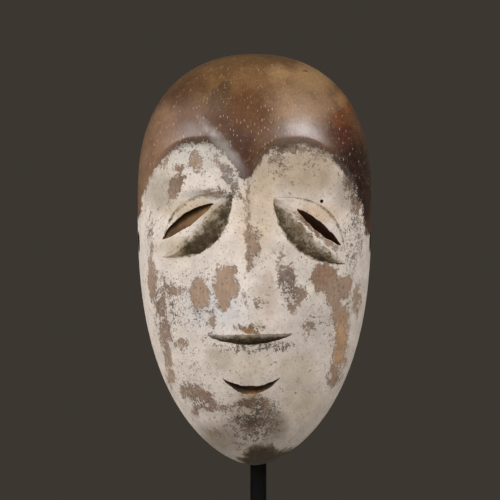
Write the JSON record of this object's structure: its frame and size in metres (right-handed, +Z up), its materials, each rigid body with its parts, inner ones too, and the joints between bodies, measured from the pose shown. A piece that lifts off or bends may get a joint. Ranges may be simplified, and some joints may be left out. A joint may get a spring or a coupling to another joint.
{
  "type": "carved miniature wooden mask on a rod stand",
  "caption": "Small oval wooden mask with a whitened heart-shaped face, slit eyes and an open hollow back, hung on a steel rod with a flat foot.",
  "frame": {"origin": "middle of the foot's underside", "axes": "+Z up along the rod, the mask looks along -Y, +X to the right of a viewer who faces the mask"},
  "size_m": [0.09, 0.075, 0.2063],
  "materials": {
    "carved_wood": "polished brown hardwood on the forehead, worn matt kaolin on the face, bare wood behind",
    "black_steel": "satin black"
  },
  "bodies": {
    "root": {"mask": "carved_wood", "mount_rod": "black_steel", "foot": "black_steel"}
  },
  "joints": []
}
